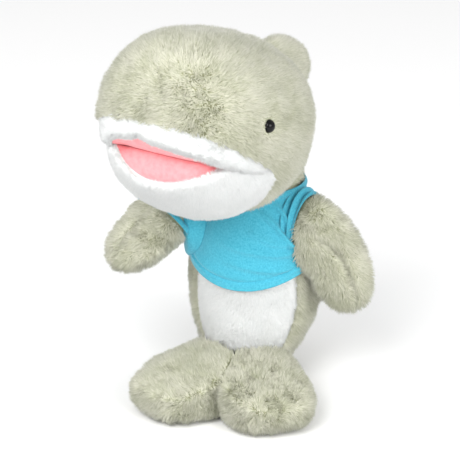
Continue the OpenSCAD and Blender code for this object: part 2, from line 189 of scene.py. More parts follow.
def pile(name, points, faces, grows, materials, length, density, seed,
         comb=(0, 0, -1), lay=0.5, clump=0.4, width=0.75, trim=None):
    """Tufts of pile on a skin. Roots are spread over the triangles by area times grows, and each tuft
    is a thin spike of three corners at its root and a tip. The tip leans by lay along comb, and by
    clump along a random field 5 mm across, which draws tufts together and leaves gaps between. trim
    gives the share of its length that a tuft keeps. The tufts' normals are nearly half the skin's, because
    soft fibres scatter light, and none reaches below the floor."""
    rng = np.random.default_rng(seed)
    corners = points[faces]
    cross = np.cross(corners[:, 1] - corners[:, 0], corners[:, 2] - corners[:, 0])
    normals = np.zeros_like(points)
    for k in range(3):
        np.add.at(normals, faces[:, k], cross)
    normals = unit(normals)
    area = np.linalg.norm(cross, axis=1) / 2 * grows
    count = int(area.sum() * density)
    chosen = rng.choice(len(faces), count, p=area / area.sum())
    u, v = rng.random((2, count))
    u, v = np.where(u + v > 1, 1 - u, u), np.where(u + v > 1, 1 - v, v)
    share = np.stack([1 - u - v, u, v], -1)[..., None]
    root = (corners[chosen] * share).sum(1)
    up = unit((normals[faces[chosen]] * share).sum(1))
    way = np.asarray(comb(root) if callable(comb) else np.broadcast_to(comb, root.shape), float)
    way = way - (way * up).sum(1, keepdims=True) * up
    lean = up + lay * way + clump * noise(root, 5, seed + 1, 3) + 0.25 * noise(root, 2, seed + 2, 3)
    lean = unit(lean + rng.normal(0, 0.12, root.shape))
    lean = unit(lean + np.maximum(0, 0.25 - (lean * up).sum(1, keepdims=True)) * up)
    height = length * (1 + 0.15 * noise(root, 9, seed + 3)[:, 0] + rng.normal(0, 0.1, count))
    if trim is not None:
        height = height * trim(root)
    side = unit(np.cross(up, lean + rng.normal(0, 0.3, root.shape)))
    over = np.cross(up, side)
    turn = rng.random(count)[:, None] * 2 * np.pi
    base = [root - 0.4 * up + width / 2 * (np.cos(turn + a) * side + np.sin(turn + a) * over)
            for a in (0, 2 * np.pi / 3, 4 * np.pi / 3)]
    tip = root + height[:, None] * lean
    spikes = np.stack(base + [tip], 1).reshape(-1, 3)
    spikes[:, 2] = np.maximum(spikes[:, 2], FLOOR_CLEAR)
    corner = np.arange(count)[:, None] * 4
    sides = [[0, 1, 3], [1, 2, 3], [2, 0, 3], [1, 0, 2]]
    triangles = (corner[:, :, None] + np.array(sides)[None]).reshape(-1, 3)
    shade = noise(root, 11, seed + 4)[:, 0] * 0.7 + rng.normal(0, 0.65, count)
    tone = np.clip(((shade + 1.2) / 2.4 * len(materials)).astype(int), 0, len(materials) - 1)
    piece = make_mesh(name, spikes, triangles, materials, np.repeat(tone, 4))
    from_root = unit(spikes.reshape(-1, 4, 3) - (root - 0.4 * up)[:, None, :])
    soft = unit(0.45 * up[:, None, :] + 0.55 * from_root)
    piece.data.normals_split_custom_set_from_vertices(soft.reshape(-1, 3))
    return piece


def plush_backing(name, dark, light, roughness=0.95):
    """Knitted backing seen between the tufts: two close colours in soft spots about 3 mm across,
    and a fine bump as of the tufts' roots."""
    material = shaded(name, {"Roughness": roughness, "Sheen Weight": 0.15})
    shader = material.node_tree.nodes["Principled BSDF"]
    place = add(material, "ShaderNodeTexCoord")
    spots = add(material, "ShaderNodeTexNoise", {}, {
        "Vector": place.outputs["Object"], "Scale": 330, "Detail": 4})
    ramp = add(material, "ShaderNodeValToRGB", {}, {"Fac": spots.outputs["Fac"]})
    ramp.color_ramp.elements[0].position, ramp.color_ramp.elements[0].color = 0.35, linear(dark)
    ramp.color_ramp.elements[1].position, ramp.color_ramp.elements[1].color = 0.65, linear(light)
    roots = add(material, "ShaderNodeTexNoise", {}, {
        "Vector": place.outputs["Object"], "Scale": 1400, "Detail": 2})
    bump = add(material, "ShaderNodeBump", {}, {
        "Height": roots.outputs["Fac"], "Distance": 0.0006, "Strength": 0.7})
    material.node_tree.links.new(ramp.outputs["Color"], shader.inputs["Base Color"])
    material.node_tree.links.new(bump.outputs["Normal"], shader.inputs["Normal"])
    return material


# Polyester faux fur: soft, matt, lighter at the tips of some tufts than others
GREY_PILE = [shaded(f"grey_pile_{i}", {"Base Color": linear(c), "Roughness": 0.85, "Sheen Weight": 0.25})
             for i, c in enumerate(["#bbbda3", "#cdceb7", "#d8d8c5", "#e3e2d1"])]
WHITE_PILE = [shaded(f"white_pile_{i}", {"Base Color": linear(c), "Roughness": 0.85, "Sheen Weight": 0.2})
              for i, c in enumerate(["#f2f4f3", "#f7f9f8", "#fcfdfc"])]
# The grey backing is coloured darker than the pile as painted shade, for the shadowed gaps between the
# tufts
grey_backing_painted_shade = plush_backing("grey_plush_backing_painted_shade", "#93967a", "#b2b395")
white_backing = plush_backing("white_plush_backing", "#eef1f0", "#f8f9f8")


def body_at(angle, z, inset=0.0):
    """Point of the body at an angle from the belly towards the toy's left, at a height: an ellipse
    whose half axes and middle come from the rows."""
    row = spline(BODY_ROWS, z)
    a = np.radians(angle)
    return np.stack([(row[..., 1] - inset) * np.sin(a),
                     row[..., 3] - (row[..., 2] - inset) * np.cos(a),
                     np.broadcast_to(z, row[..., 1].shape) + 0 * a], -1)


BODY_AROUND, BODY_UP = 180, 90
BODY_TOP = NECK_Z + 14
body_angle = np.linspace(0, 360, BODY_AROUND, endpoint=False)[None, :]
body_z = np.linspace(0.4, BODY_TOP, BODY_UP)[:, None]
from_seam = np.abs(np.abs((body_angle + 180) % 360 - 180) - BELLY_HALF_ANGLE)
body_seam = SEAM_DEPTH * np.exp(-(np.radians(from_seam) * BODY_W / 2 / SEAM_WIDTH) ** 2) + 0 * body_z
body_rings = body_at(body_angle + 0 * body_z, body_z + 0 * body_angle, BACKING_IN + body_seam)
body_rings += 0.8 * noise(body_rings, 26, 3, 3) * [1, 1, 0]
body_points, body_faces = closed_rings(body_rings)
body_middle = body_points[body_faces].mean(1)
body_row = spline(BODY_ROWS, body_middle[:, 2])
body_turn = np.degrees(np.arctan2(body_middle[:, 0] / body_row[:, 1],
                                  -(body_middle[:, 1] - body_row[:, 3]) / body_row[:, 2]))
is_belly = (np.abs(body_turn) < BELLY_HALF_ANGLE) & (body_middle[:, 2] > 3) & (body_middle[:, 2] < NECK_Z)
body = make_mesh("body_plush", body_points, body_faces, [grey_backing_painted_shade, white_backing], is_belly)
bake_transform(body)
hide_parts("base_panel", "back_left_cover", "back_right_cover", "belly_panel", "body_filling")

# The pile stops where the shirt presses it flat, grows again at the neck above the collar, and stops
# above the sole of the base panel
HEM_Z, HEM_RISE = 76, 13
hem_here = HEM_Z + HEM_RISE * np.sin(np.radians(body_turn)) ** 2
COLLAR_TOP = NECK_Z + 8
under_shirt = (body_middle[:, 2] > hem_here + 3) & (body_middle[:, 2] < COLLAR_TOP)
bare = under_shirt | (body_middle[:, 2] < 5)
back_pile = pile("body_back_pile", body_points, body_faces, ~bare & ~is_belly, GREY_PILE,
                 5.4, 3.2, 11, lay=0.5, clump=0.55)
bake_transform(back_pile)
belly_pile = pile("belly_pile", body_points, body_faces, ~bare & is_belly, WHITE_PILE,
                  3.0, 4.4, 12, lay=0.6, clump=0.12, width=0.7)
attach(belly_pile, "torso")

# ---------------------------------------------------------------------------
# The head. Two grey plush sides over a white upper lip, stuffed firm, with the
# mouth's pink lining sewn to the lip's lower edge. It is sewn on turned to the
# toy's right and with its snout lifted.
# ---------------------------------------------------------------------------

HEAD_L, HEAD_W, HEAD_H = 142, 114, 112
HEAD_TURN, HEAD_LIFT = 18, 19
NECK = np.array([0, 4, NECK_Z + 14])
HEAD_AHEAD, HEAD_ABOVE = 57, 49
MOUTH_MID = np.array([0, 1, -22.5])
SNOUT_POWER, SKULL_POWER, SECTION_POWER = 3.1, 2.4, 2.2
THROAT_ANGLE = 240
LIP_TOP = 14
SLIT_END, WIDEST, BLUNT_END = 50, -8, -31
CORNER = -2

turn_head = Matrix.Rotation(-math.radians(HEAD_TURN), 3, "Z")
head_turned = np.array(turn_head @ Matrix.Rotation(-math.radians(HEAD_LIFT), 3, "X"))
head_middle = NECK + np.array(turn_head) @ [0, -HEAD_AHEAD, HEAD_ABOVE]


def on_head(points):
    """Points of the head's own frame, put in their place on the toy."""
    return points @ head_turned.T + head_middle


def head_dir(side, angle):
    """Direction from the mouth's hinge line: side towards the toy's left, angle from ahead upwards."""
    s, a = np.radians(side), np.radians(angle)
    return np.stack([np.sin(s) + 0 * a, -np.cos(s) * np.cos(a), np.cos(s) * np.sin(a)], -1)


def head_level(p):
    """Below 1 inside the head, 1 on its surface: a superellipse across, blended into another along."""
    k = np.where(p[..., 1] < 0, SNOUT_POWER, SKULL_POWER)
    section = (np.abs(2 * p[..., 0] / HEAD_W) ** SECTION_POWER
               + np.abs(2 * p[..., 2] / HEAD_H) ** SECTION_POWER)
    return section ** (k / SECTION_POWER) + np.abs(2 * p[..., 1] / HEAD_L) ** k


def head_reach(direction):
    """Distance from the hinge line's middle to the head's surface, found by halving."""
    low = np.zeros(direction.shape[:-1])
    high = low + HEAD_L
    for _ in range(26):
        middle = (low + high) / 2
        inside = head_level(MOUTH_MID + middle[..., None] * direction) < 1
        low, high = np.where(inside, middle, low), np.where(inside, high, middle)
    return low


def head_at(side, angle, inset=0.0):
    """Point on the head's surface, or that far inside it."""
    direction = head_dir(side, angle)
    return MOUTH_MID + (head_reach(direction) - inset)[..., None] * direction


def mouth_opening(side):
    """1 at the mouth's widest, falling as a sine's power to a point at its left end, and as a circle
    to a blunt right end."""
    pointed = np.sin(np.pi / 2 * np.clip((SLIT_END - side) / (SLIT_END - WIDEST), 0, 1)) ** 0.8
    blunt = np.sqrt(np.clip(1 - ((side - WIDEST) / (BLUNT_END - WIDEST)) ** 2, 0, 1))
    return np.where(side > WIDEST, pointed, blunt)


def lip_edge(side):
    """Angle of the upper lip's lower edge, with the small peak near its middle."""
    return CORNER + 6.5 * mouth_opening(side) + 2.2 * np.exp(-((side + 6) / 4.5) ** 2)


def jaw_edge(side):
    """Angle of the lower jaw's upper edge."""
    return CORNER - 21 * mouth_opening(side)


def loft(side, angles, insets):
    """Rings round the hinge line, one for each side: a point for each angle and inset."""
    return np.stack([head_at(side, a, i) for a, i in zip(angles, insets)], 1)


HEAD_SIDES = 121
ROUND = [(3.0, 0.0), (1.8, 0.5), (0.9, 1.5), (0.3, 3.0), (0.0, 5.0)]
POCKET = 17
ACROSS = 87
head_side = ACROSS * np.sin(np.linspace(-np.pi / 2, np.pi / 2, HEAD_SIDES))
shrink = np.cos(np.radians(head_side))
head_fold = CORNER + 0.5 * mouth_opening(head_side)
rim = lip_edge(head_side)
over_head = [rim + 3 + (THROAT_ANGLE - rim - 3) * k for k in np.linspace(1, 0, 150)]
lip_round = [(rim + a, i * shrink) for a, i in ROUND[1:]]
roof = [(rim + (head_fold - rim) * k, (5 + (POCKET - 5) * k) * shrink) for k in (0.25, 0.5, 0.75, 1.0)]
inner = [(head_fold - 1, 30 * shrink), (head_fold - 1, 45 * shrink), (THROAT_ANGLE + 0 * rim, 40 * shrink),
         (THROAT_ANGLE + 0 * rim, 20 * shrink), (THROAT_ANGLE + 0 * rim, 6 * shrink)]
loop = [(a, 0 * shrink) for a in over_head] + lip_round + roof + inner
head_loops = loft(head_side, [a for a, _ in loop], [i + BACKING_IN * shrink for _, i in loop])
head_loops += 0.9 * noise(head_loops, 30, 21, 3)
head_points, head_faces = closed_rings(head_loops)
ahead = head_points[head_faces].mean(1) - MOUTH_MID
face_side = np.degrees(np.arcsin(np.clip(unit(ahead)[:, 0], -1, 1)))
face_angle = np.degrees(np.arctan2(ahead[:, 2], -ahead[:, 1])) % 360
face_angle = np.where(face_angle > 300, face_angle - 360, face_angle)
outer_count = len(over_head) + len(lip_round)
on_outer = (head_faces % len(loop) < outer_count).all(1) & (head_faces < HEAD_SIDES * len(loop)).all(1)
head_step = head_faces % len(loop)
on_roof = (head_step >= outer_count - 1).all(1) & (head_step < outer_count + 6).all(1)
is_lip = on_outer & (face_angle < LIP_TOP)
head_slot = np.where(is_lip, 1, 0) + np.where(on_roof, 2, 0)
head_points = on_head(head_points)

pink_lining = plush_backing("pink_lining_plush", "#f4979b", "#faa4a8", 0.9)
head = make_mesh("head_plush", head_points, head_faces,
                 [grey_backing_painted_shade, white_backing, pink_lining], head_slot)
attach(head, "head")
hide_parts("head_left_cover", "head_right_cover", "upper_lip", "mouth_roof", "head_filling")

# The pile is brushed back from the snout and down the cheeks, and parts round the eyes
EYE_PARTING = 6.5
eye_spots = [np.array([(a + b) / 2 / MM for a, b in zip(*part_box(n))]) for n in ("left_eye", "right_eye")]
head_face_mid = head_points[head_faces].mean(1)
clear_of_eyes = np.min([np.linalg.norm(head_face_mid - e, axis=1) for e in eye_spots], 0)
grey_grows = (on_outer & (face_angle > LIP_TOP)) * np.clip((clear_of_eyes - EYE_PARTING + 2) / 3, 0, 1)
grey_grows = grey_grows * (face_angle < 232)


def head_comb(root):
    """Pile direction on the head: backwards along it, and down."""
    back = np.array(turn_head) @ [0, 1, 0]
    way = np.broadcast_to(unit(back * 0.5 + np.array([0, 0, -0.8])), root.shape)
    for spot in eye_spots:
        gap = np.linalg.norm(root - spot, axis=1, keepdims=True)
        way = way + 2.5 * np.exp(-(gap / 9) ** 2) * unit(root - spot)
    return way


def head_trim(root):
    """Share of its length that a tuft keeps: a third beside an eye, all of it 14 mm away."""
    gap = np.min([np.linalg.norm(root - spot, axis=1) for spot in eye_spots], 0)
    return np.clip((gap - 3) / 11, 0.33, 1)


for half, chosen_half in (("left", face_side >= 0), ("right", face_side < 0)):
    hair = pile(f"head_{half}_pile", head_points, head_faces, grey_grows * chosen_half, GREY_PILE,
                5.6, 2.9, 31 if half == "left" else 32, comb=head_comb, lay=0.4, trim=head_trim)
    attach(hair, "head")
lip_pile = pile("upper_lip_pile", head_points, head_faces, is_lip, WHITE_PILE,
                2.8, 4.5, 33, comb=(0, 0, 1), lay=0.6, clump=0.25, width=0.7)
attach(lip_pile, "head")

# ---------------------------------------------------------------------------
# The lower jaw. One white short-pile cover, fuller under the chin, with the
# pink floor of the mouth sewn along its upper edge, and stuffed.
# ---------------------------------------------------------------------------

JAW_BACK = -121
JAW_RECESS, JAW_FULLNESS = 5, 7
JAW_SIDES = 101
jaw_side = ACROSS * np.sin(np.linspace(-np.pi / 2, np.pi / 2, JAW_SIDES))
jaw_shrink = np.cos(np.radians(jaw_side))
jaw_rim = jaw_edge(jaw_side)
jaw_fold = CORNER + 0.5 * mouth_opening(jaw_side) - 0.3
jaw_steps = np.linspace(0, 1, 70)
chin = [(JAW_BACK + (jaw_rim - 3 - JAW_BACK) * t,
         (JAW_RECESS * t**3 - JAW_FULLNESS * np.sin(np.pi * t)) * jaw_shrink) for t in jaw_steps]
jaw_round = [(jaw_rim - a, (JAW_RECESS + i) * jaw_shrink) for a, i in ROUND[1:]]
floor_in = [(jaw_rim + (jaw_fold - jaw_rim) * k,
             (JAW_RECESS + 5 + (POCKET - 3 - JAW_RECESS) * k) * jaw_shrink)
            for k in (0.2, 0.4, 0.6, 0.8, 1.0)]
jaw_inner = [(jaw_fold - 1, 32 * jaw_shrink), (jaw_fold - 2, 44 * jaw_shrink),
             (JAW_BACK + 0 * jaw_rim, 34 * jaw_shrink), (JAW_BACK + 0 * jaw_rim, 14 * jaw_shrink)]
jaw_loop = chin + jaw_round + floor_in + jaw_inner
jaw_loops = loft(jaw_side, [a for a, _ in jaw_loop], [i + BACKING_IN / 2 * jaw_shrink for _, i in jaw_loop])
jaw_loops += 0.9 * noise(jaw_loops, 28, 41, 3)
jaw_points, jaw_faces = closed_rings(jaw_loops)
chin_count = len(chin) + len(jaw_round)
step_of = jaw_faces % len(jaw_loop)
on_chin = (step_of < chin_count).all(1) & (jaw_faces < JAW_SIDES * len(jaw_loop)).all(1)
on_floor = (step_of >= chin_count - 1).all(1) & (step_of < chin_count + 7).all(1)
jaw_points = on_head(jaw_points)
jaw = make_mesh("jaw_plush", jaw_points, jaw_faces, [white_backing, pink_lining], on_floor)
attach(jaw, "jaw")
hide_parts("jaw_cover", "mouth_floor", "jaw_filling")
jaw_pile = pile("jaw_pile", jaw_points, jaw_faces, on_chin, WHITE_PILE,
                3.4, 3.8, 42, lay=0.6, clump=0.3, width=0.7)
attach(jaw_pile, "jaw")

# ---------------------------------------------------------------------------
# The eyes. Black safety eyes, moulded in one piece with their shanks and
# polished, each held by a plain nylon washer inside the head.
# ---------------------------------------------------------------------------

polished_black = shaded("polished_black_plastic", {
    "Base Color": linear("#020203"), "Roughness": 0.1, "IOR": 1.5, "Specular IOR Level": 0.25})
natural_nylon = shaded("natural_nylon", {"Base Color": linear("#dcdad0"), "Roughness": 0.5, "IOR": 1.53})
for side in ("left", "right"):
    for node, material in ((f"{side}_eye", polished_black), (f"{side}_eye_washer", natural_nylon)):
        cad_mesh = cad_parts[node].data
        cad_mesh.materials.clear()
        cad_mesh.materials.append(material)

# ---------------------------------------------------------------------------
# The chest fins. Flat mitts of two grey covers each, sewn round the edge,
# turned and lightly stuffed. Each swells out of its sleeve at the body's side.
# ---------------------------------------------------------------------------

FIN_SIZE = {"left": [43, 25, 78], "right": [43, 25, 73]}
FIN_NARROW = 0.2
SHOULDER = np.array([46, -11, NECK_Z - 8])
SHOULDER_DEPTH = 6
FIN_INWARD = {"left": 2, "right": -3}
FIN_HANG = {"left": 24, "right": 30}
FIN_FORWARD = {"left": 0, "right": 50}
FIN_TWIST = {"left": 20, "right": 0}
# Middle of the left sleeve's edge, how far along its fin the right one's is, and the half height
# and half depth of each edge
LEFT_EDGE_MIDDLE = np.array([40, -13, 111])
RIGHT_EDGE_ALONG = 27
EDGE_HALF = {"left": (27, 17), "right": (22, 16)}


def pad_at(turn, along, start, size, narrow, lean, inset):
    """Point of a stuffed pad: an ellipse round a middle line along Z. Its half axes follow a power of
    the sine of along, from start at the root to 180 at the tip, and it leans along X."""
    a, t = np.radians(along), np.radians(turn)
    first = math.cos(math.radians(start))
    way = (first - np.cos(a)) / (first + 1)
    full = np.sin(a) ** 0.85 * (1 - narrow + narrow * np.maximum(way, 0) ** 0.8)
    taken = inset * np.sin(a)
    return np.stack([(size[0] / 2 * full - taken) * np.cos(t) + lean * way ** 1.5,
                     (size[1] / 2 * full - taken) * np.sin(t),
                     inset + (size[2] - 2 * inset) * way], -1)


def stuffed_pad(start, size, narrow, lean, around=96, along=80, seam=1.6):
    """Rings of a pad whose two covers meet in a valley along its edges, at turns of 0 and 180."""
    turn = np.linspace(0, 360, around, endpoint=False)[None, :]
    way = start + (179 - start) * np.linspace(0, 1, along)[:, None]
    from_edge = np.minimum(np.abs((turn + 90) % 180 - 90), 90)
    groove = seam * np.exp(-(from_edge / 9) ** 2)
    return pad_at(turn + 0 * way, way + 0 * turn, start, size, narrow, lean, BACKING_IN + groove + 0 * way)


def fin_place(side):
    """Turn and shift that carry a chest fin from its own frame to its place on the toy."""
    out = 1 if side == "left" else -1
    turned = (Matrix.Rotation(-math.radians(FIN_FORWARD[side]), 3, "X")
              @ Matrix.Rotation(math.radians(180 - FIN_HANG[side]), 3, "Y")
              @ Matrix.Rotation(-math.radians(FIN_TWIST[side]), 3, "Z"))
    flip = np.diag([out, 1, 1])
    root = SHOULDER + np.array(turned) @ [FIN_INWARD[side], 0, -SHOULDER_DEPTH]
    return flip @ np.array(turned), flip @ root


def sleeve_edge(side, turn, inset=0.0):
    """Ring where a sleeve ends, and the way it faces. The left one stands upright on the shirt's
    side; the right one is square to its fin."""
    turned, shift = fin_place(side)
    if side == "left":
        middle = LEFT_EDGE_MIDDLE
        low, back = unit(np.array([-0.1, 0, -1])), unit(np.array([0.44, 0.9, 0]))
    else:
        middle = shift + turned @ [0, 0, RIGHT_EDGE_ALONG]
        low, back = turned[:, 0], turned[:, 1]
    half = EDGE_HALF[side]
    t = np.radians(turn)[..., None]
    facing = np.cross(low, back) * (1 if side == "left" else -1)
    ring = middle + (half[0] - inset) * np.cos(t) * low + (half[1] - inset) * np.sin(t) * back
    return ring, facing


def bridge(first, leave, last, arrive, count):
    """Rings between two rings: a cubic Hermite curve for each pair of points, which leaves and
    arrives along the given directions with the strength of the gap between the two points."""
    k = np.linspace(0, 1, count)[:, None, None]
    gap = np.linalg.norm(last - first, axis=-1, keepdims=True)
    return ((2 * k**3 - 3 * k**2 + 1) * first + (k**3 - 2 * k**2 + k) * gap * leave
            + (3 * k**2 - 2 * k**3) * last + (k**3 - k**2) * gap * arrive)


# The mitt's full width begins here along its pad; above, it swells out of its sleeve
FULL_FROM = 100
MITT_TURN = np.linspace(0, 360, 96, endpoint=False)
for side in ("left", "right"):
    turned, shift = fin_place(side)
    axis = turned @ [0, 0, 1]
    edge, facing = sleeve_edge(side, MITT_TURN, 3.0)
    way = np.linspace(FULL_FROM, 179, 50)[:, None] + 0 * MITT_TURN
    turn = MITT_TURN + 0 * way
    # A valley along the two covers' seam, and a soft crease down the front
    seam = 1.6 * np.exp(-((np.abs((turn + 90) % 180 - 90)) / 9) ** 2)
    crease = 4.5 * np.exp(-((turn - 256) / 8) ** 2) * np.sin(np.radians(way)) ** 0.5
    inset = BACKING_IN + seam + crease
    mitt = pad_at(turn, way, 5, FIN_SIZE[side], FIN_NARROW, 0, inset) @ turned.T + shift
    swell = bridge(edge, 1.25 * facing, mitt[0], 1.25 * axis, 30)
    inside = edge - facing * np.linspace(9, 1, 4)[:, None, None]
    fin_points, fin_faces = closed_rings(np.concatenate([inside, swell[:-1], mitt]))
    fin_points = fin_points + 0.8 * noise(fin_points, 22, 51 + len(side), 3)
    fin = make_mesh(f"{side}_fin_plush", fin_points, fin_faces, [grey_backing_painted_shade])
    grows = (fin_points[fin_faces].mean(1) - edge.mean(0)) @ facing > 0.5
    hair = pile(f"{side}_fin_pile", fin_points, fin_faces, grows, GREY_PILE, 5.4, 3.4,
                53 if side == "left" else 54, comb=axis, lay=0.5, clump=0.55)
    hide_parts(f"{side}_fin_front_cover", f"{side}_fin_back_cover", f"{side}_fin_filling")
    for piece in (fin, hair):
        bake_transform(piece)

# ---------------------------------------------------------------------------
# The fin on the head. A small flat pad of two covers, sewn into the seam at
# the back of the skull and leaning backwards.
# ---------------------------------------------------------------------------

CREST_SIZE = [42, 15, 48]
CREST_ROOT = np.array([0, 57, 35])
CREST_TILT, CREST_START = 62, 62
CREST_NARROW, CREST_LEAN = -0.12, -14
crest_turned = np.array(Matrix.Rotation(-math.radians(CREST_TILT), 3, "X")
                        @ Matrix.Rotation(-math.pi / 2, 3, "Z"))
crest_rings = stuffed_pad(CREST_START, CREST_SIZE, CREST_NARROW, CREST_LEAN, seam=1.2)
crest_points, crest_faces = closed_rings(on_head(crest_rings @ crest_turned.T + CREST_ROOT))
crest_points = crest_points + 0.6 * noise(crest_points, 18, 61, 3)
crest = make_mesh("head_fin_plush", crest_points, crest_faces, [grey_backing_painted_shade])
crest_axis = head_turned @ crest_turned @ [0, 0, 1]
crest_pile = pile("head_fin_pile", crest_points, crest_faces, np.ones(len(crest_faces)), GREY_PILE,
                  4.6, 3.2, 62, comb=crest_axis, lay=0.5)
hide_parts("head_fin_left_cover", "head_fin_right_cover", "head_fin_filling")
for piece in (crest, crest_pile):
    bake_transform(piece)

# ---------------------------------------------------------------------------
# The tail. Two soft lobes that the toy stands on, each a grey cover over a
# flat sole, stuffed, and sewn together and to the body where they meet.
# ---------------------------------------------------------------------------

LOBE_L, LOBE_W, LOBE_H = 65, 52, 31
LOBE_SPREAD, LOBE_ROOT, LOBE_SHIFT, LOBE_START = 33, 45, -13, 50
# How many times as wide a lobe's inner half is as its outer one
LOBE_INNER = 1.35
SOLE_Z = 0.4


def lobe_at(turn, along, inset):
    """Point of a tail lobe: a flattened round section whose half width and half height follow powers
    of the sine of along, cut off level at the sole and upright where it meets the other lobe."""
    a, t = np.radians(along), np.radians(turn)
    first = math.cos(math.radians(LOBE_START))
    way = (first - np.cos(a)) / (first + 1)
    c, s = np.cos(t), np.sin(t)
    half = (LOBE_W / 2 * np.sin(a) ** 0.6 - inset * np.sin(a)) * np.sign(c) * np.abs(c) ** 0.9
    half = half * np.where(c < 0, LOBE_INNER, 1) + LOBE_SHIFT
    square = np.where(c > 0, 0.62, 0.62 - 0.34 * np.abs(c))
    rise = (LOBE_H / 2 * np.sin(a) ** 0.5 - inset * np.sin(a)) * np.sign(s) * np.abs(s) ** square
    rise = np.where(s > 0, rise * (1 + 0.5 * (1 - way) ** 2 - 0.3 * way ** 2), rise)
    out = LOBE_ROOT + (LOBE_L - inset) * way
    spread = math.radians(LOBE_SPREAD)
    return np.stack([np.maximum(0.2, out * math.sin(spread) + half * math.cos(spread)),
                     -out * math.cos(spread) + half * math.sin(spread),
                     np.maximum(SOLE_Z, LOBE_H / 2 + rise)], -1)


for side in ("left", "right"):
    out = 1 if side == "left" else -1
    turn = np.linspace(0, 360, 110, endpoint=False)[None, :]
    way = LOBE_START + (178.5 - LOBE_START) * np.linspace(0, 1, 84)[:, None]
    lobe_rings = lobe_at(turn + 0 * way, way + 0 * turn, BACKING_IN) * [out, 1, 1]
    lobe_points, lobe_faces = closed_rings(lobe_rings)
    wobble = 0.9 * noise(lobe_points, 24, 70 + out, 3)
    wobble[:, 0] *= np.clip(np.abs(lobe_points[:, 0]) / 10, 0, 1)
    wobble[:, 2] *= np.clip((lobe_points[:, 2] - SOLE_Z) / 8, 0, 1)
    lobe_points = lobe_points + wobble
    lobe = make_mesh(f"{side}_tail_plush", lobe_points, lobe_faces, [grey_backing_painted_shade])
    lobe_mid = lobe_points[lobe_faces].mean(1)
    spread = math.radians(LOBE_SPREAD)
    axis = np.array([out * math.sin(spread), -math.cos(spread), 0])
    grows = (lobe_mid[:, 2] > 3) & (np.abs(lobe_mid[:, 0]) > 0.6)
    hair = pile(f"{side}_tail_pile", lobe_points, lobe_faces, grows, GREY_PILE, 5.2, 3.2, 73 + out,
                comb=axis + [0, 0, -0.2], lay=0.45, clump=0.55)
    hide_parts(f"{side}_tail_cover", f"{side}_tail_sole", f"{side}_tail_filling")
    for piece in (lobe, hair):
        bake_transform(piece)

# ---------------------------------------------------------------------------
# The shirt. Light blue cotton jersey, drawn 1 mm thick: a front and a back
# panel that meet at the sides, a ribbed collar band and two short set-in sleeves.
# The lower edge is turned up and stitched.
# ---------------------------------------------------------------------------

CLOTH_T = 1.0
SHIRT_TOP = NECK_Z + 4
SHIRT_EASE = 1.6
NECKLINE_DIP = 9
CHIN_ANGLE = -20
HEM_TURNED = 5.5


def jersey(name, rib):
    """Jersey: rows of loops one mm apart, drawn about twice as coarse as real ones so that they show,
    as two crossed waves of bump on the cloth's own UV map in metres, and a slightly mottled dye."""
    material = shaded(name, {"Roughness": 0.88, "Sheen Weight": 0.35, "Sheen Roughness": 0.4})
    shader = material.node_tree.nodes["Principled BSDF"]
    cloth = add(material, "ShaderNodeUVMap", {"uv_map": "cloth"})
    wales = add(material, "ShaderNodeTexWave", {"bands_direction": "X"}, {
        "Vector": cloth.outputs["UV"], "Scale": 314 / rib, "Distortion": 1.5, "Detail Scale": 2})
    rows = add(material, "ShaderNodeTexWave", {"bands_direction": "Y"}, {
        "Vector": cloth.outputs["UV"], "Scale": 330, "Distortion": 1.0})
    mixed = add(material, "ShaderNodeMath", {"operation": "ADD"}, {
        0: wales.outputs["Fac"], 1: rows.outputs["Fac"]})
    bump = add(material, "ShaderNodeBump", {}, {
        "Height": mixed.outputs["Value"], "Distance": 0.00012 * rib, "Strength": 0.8})
    place = add(material, "ShaderNodeTexCoord")
    dye = add(material, "ShaderNodeTexNoise", {}, {
        "Vector": place.outputs["Object"], "Scale": 900, "Detail": 3})
    ramp = add(material, "ShaderNodeValToRGB", {}, {"Fac": dye.outputs["Fac"]})
    ramp.color_ramp.elements[0].position, ramp.color_ramp.elements[0].color = 0.3, linear("#359eb8")
    ramp.color_ramp.elements[1].position, ramp.color_ramp.elements[1].color = 0.7, linear("#4fb5cb")
    material.node_tree.links.new(ramp.outputs["Color"], shader.inputs["Base Color"])
    material.node_tree.links.new(bump.outputs["Normal"], shader.inputs["Normal"])
    return material


def cloth_sheet(name, outer, thickness, uv, material):
    """A closed sheet of cloth: a grid of outer points, the same grid moved inwards along its normals,
    and a wall round the rim. uv is each grid point's place on the flat cloth, in metres."""
    rows, columns = outer.shape[:2]
    down, across = np.gradient(outer, axis=0), np.gradient(outer, axis=1)
    inward = unit(np.cross(down, across))
    index = np.arange(rows * columns).reshape(rows, columns)
    a, b, c, d = index[:-1, :-1], index[:-1, 1:], index[1:, 1:], index[1:, :-1]
    front = np.concatenate([np.stack([a, b, c], -1).reshape(-1, 3), np.stack([a, c, d], -1).reshape(-1, 3)])
    edge = np.concatenate([index[0, :-1], index[:-1, -1], index[-1, :0:-1], index[:0:-1, 0]])
    after, back = np.roll(edge, -1), rows * columns
    wall = np.concatenate([np.stack([edge, edge + back, after + back], -1),
                           np.stack([edge, after + back, after], -1)])
    faces = np.concatenate([front, front[:, ::-1] + back, wall])
    flat = outer.reshape(-1, 3)
    points = np.concatenate([flat, flat + inward.reshape(-1, 3) * thickness])
    p = points[faces]
    if np.einsum("ij,ij->", p[:, 0], np.cross(p[:, 1], p[:, 2])) < 0:
        faces = faces[:, ::-1]
    piece = make_mesh(name, points, faces, [material])
    layer = piece.data.uv_layers.new(name="cloth")
    both = np.concatenate([uv.reshape(-1, 2)] * 2)
    layer.data.foreach_set("uv", both[faces.ravel()].astype(np.float32).ravel())
    return piece


